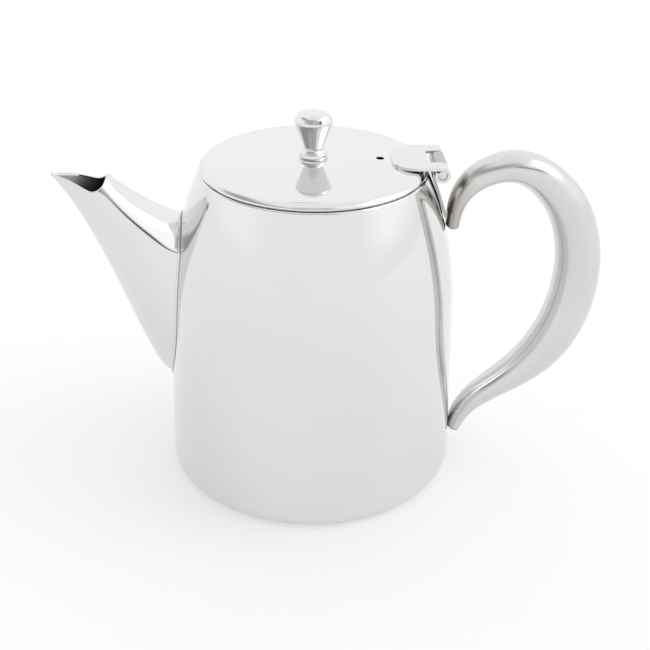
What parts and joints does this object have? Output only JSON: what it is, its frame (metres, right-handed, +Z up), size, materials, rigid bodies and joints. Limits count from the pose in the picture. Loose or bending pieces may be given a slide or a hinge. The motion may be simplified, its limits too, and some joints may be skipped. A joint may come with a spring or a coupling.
{
  "type": "teapot",
  "caption": "Polished stainless steel teapot with a tall tapering body, a wide-based spout, a hollow curved handle and a hinged lid with a turned knob.",
  "frame": {"origin": "centre of the foot ring, on the surface the teapot stands on", "axes": "+Z up; the spout points along -X, the handle and the lid hinge lie along +X; +Y is the far side when the spout is on the viewer's left"},
  "size_m": [0.2107, 0.1146, 0.1464],
  "materials": {
    "polished_steel": "mirror-polished stainless steel",
    "hinge_steel": "polished stainless steel, slightly duller from forming",
    "weld_steel": "ground and polished stainless weld",
    "fastener_steel": "plain turned stainless steel"
  },
  "bodies": {
    "pot": {"body_shell": "polished_steel", "base_plate": "polished_steel", "spout_left_half": "polished_steel", "spout_right_half": "polished_steel", "spout_weld_bead": "weld_steel", "handle_left_half": "polished_steel", "handle_right_half": "polished_steel", "handle_upper_cap": "polished_steel", "handle_lower_cap": "polished_steel", "body_hinge_leaf": "hinge_steel"},
    "lid": {"lid_pan": "polished_steel", "lid_locating_ring": "polished_steel", "lid_hinge_leaf": "hinge_steel", "hinge_pin": "hinge_steel", "knob": "polished_steel", "knob_screw": "fastener_steel", "knob_washer": "fastener_steel"}
  },
  "joints": [
    {"name": "lid_hinge", "type": "hinge", "parent": "pot", "child": "lid", "pos_m": [0.047, 0, 0.12622], "axis": [0, 1, 0], "range_deg": [0, 110]}
  ]
}
